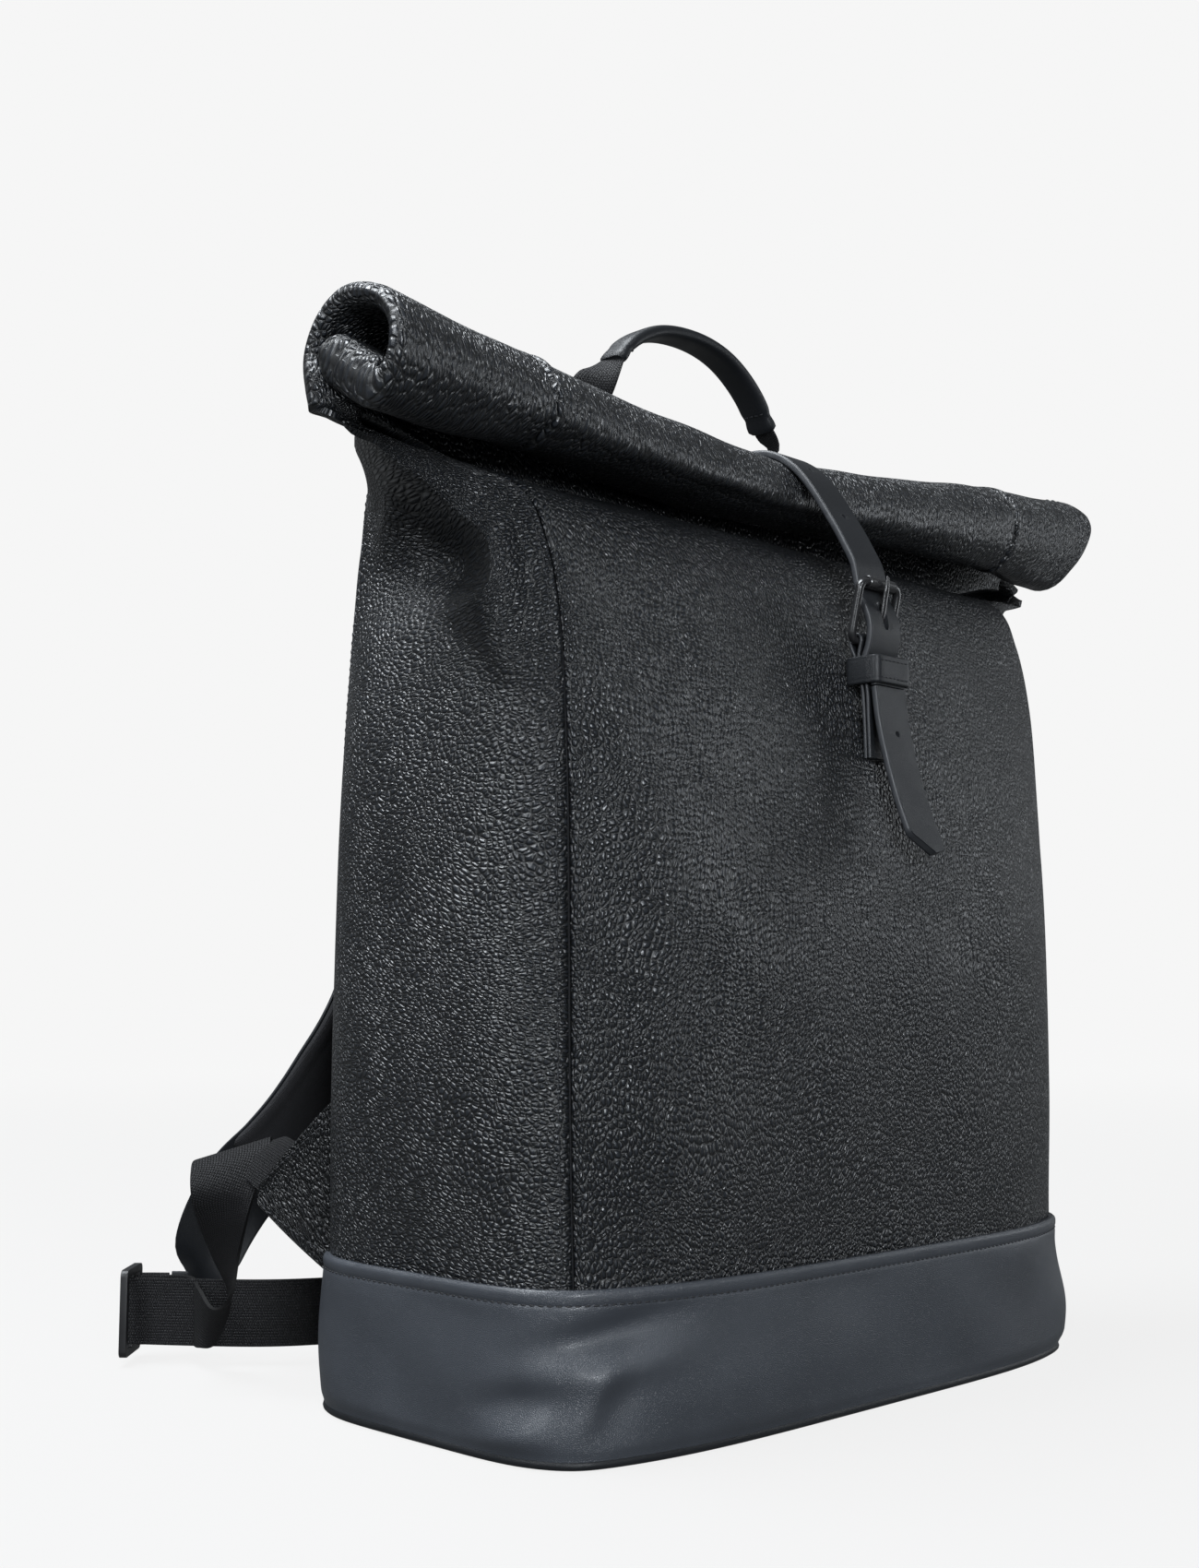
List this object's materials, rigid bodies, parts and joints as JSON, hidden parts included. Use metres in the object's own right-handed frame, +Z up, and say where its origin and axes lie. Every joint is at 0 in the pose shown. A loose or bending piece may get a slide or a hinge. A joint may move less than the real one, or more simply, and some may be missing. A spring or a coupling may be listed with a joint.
{
  "type": "backpack",
  "caption": "Roll-top leather backpack with a smooth base band, a strap with a roller buckle over the rolled mouth, a carry handle and adjustable shoulder straps.",
  "frame": {"origin": "centre of the bottom panel's underside, where the bag stands", "axes": "+Z up, -Y out of the front where the buckle is, +X to the right as seen from the front"},
  "size_m": [0.468, 0.3341, 0.4746],
  "materials": {
    "pebbled_leather": "pebbled grain, semi-matt black",
    "smooth_leather": "smooth, satin black",
    "webbing": "woven ribbed webbing, black",
    "lining": "plain woven lining, charcoal",
    "foam": "padding under a dark cover",
    "board": "stiff base board",
    "black_metal": "black coated metal",
    "black_plastic": "moulded black plastic"
  },
  "bodies": {
    "bag": {"front_panel": "pebbled_leather", "left_gusset": "pebbled_leather", "right_gusset": "pebbled_leather", "back_panel": "pebbled_leather", "back_yoke": "pebbled_leather", "base_band": "smooth_leather", "bottom_panel": "smooth_leather", "bottom_piping": "smooth_leather", "base_board": "board", "lining": "lining", "back_foam": "foam", "rolled_collar": "pebbled_leather", "mouth_hem": "pebbled_leather", "closure_strap": "smooth_leather", "strap_chape": "smooth_leather", "strap_keeper": "smooth_leather", "left_side_tab": "pebbled_leather", "right_side_tab": "pebbled_leather"},
    "tail": {"strap_tail": "smooth_leather"},
    "buckle": {"buckle_frame": "black_metal"},
    "prong": {"buckle_prong": "black_metal"},
    "roller": {"buckle_roller": "black_metal"},
    "handle": {"handle_grip": "smooth_leather", "handle_webbing_left": "webbing", "handle_webbing_right": "webbing"},
    "left_strap": {"left_shoulder_strap": "smooth_leather", "left_strap_padding": "foam", "left_ladder_lock": "black_plastic", "left_lock_loop": "webbing", "left_adjusting_webbing": "webbing"},
    "right_strap": {"right_shoulder_strap": "smooth_leather", "right_strap_padding": "foam", "right_ladder_lock": "black_plastic", "right_lock_loop": "webbing", "right_adjusting_webbing": "webbing"}
  },
  "joints": [
    {"name": "handle_swing", "type": "hinge", "parent": "bag", "child": "handle", "pos_m": [0, 0.0643, 0.3717], "axis": [1, 0, 0], "range_deg": [-130, 30]},
    {"name": "buckle_swing", "type": "hinge", "parent": "bag", "child": "buckle", "pos_m": [0, -0.0868, 0.3095], "axis": [1, 0, 0], "range_deg": [0, 5]},
    {"name": "prong_lift", "type": "hinge", "parent": "buckle", "child": "prong", "pos_m": [0, -0.0868, 0.3095], "axis": [1, 0, 0], "range_deg": [0, 16]},
    {"name": "roller_spin", "type": "hinge", "parent": "buckle", "child": "roller", "pos_m": [0, -0.0925, 0.3335], "axis": [1, 0, 0], "continuous": true},
    {"name": "strap_tail_lift", "type": "hinge", "parent": "bag", "child": "tail", "pos_m": [0, -0.0977, 0.2893], "axis": [-1, 0, 0], "range_deg": [-6, 60], "stiffness_Nm_per_rad": 0.01},
    {"name": "left_strap_swing", "type": "hinge", "parent": "bag", "child": "left_strap", "pos_m": [-0.064, 0.077, 0.348], "axis": [-0.3476, 0.1078, -0.9314], "range_deg": [-12, 0]},
    {"name": "right_strap_swing", "type": "hinge", "parent": "bag", "child": "right_strap", "pos_m": [0.064, 0.077, 0.348], "axis": [0.3476, 0.1078, -0.9314], "range_deg": [0, 12]}
  ]
}
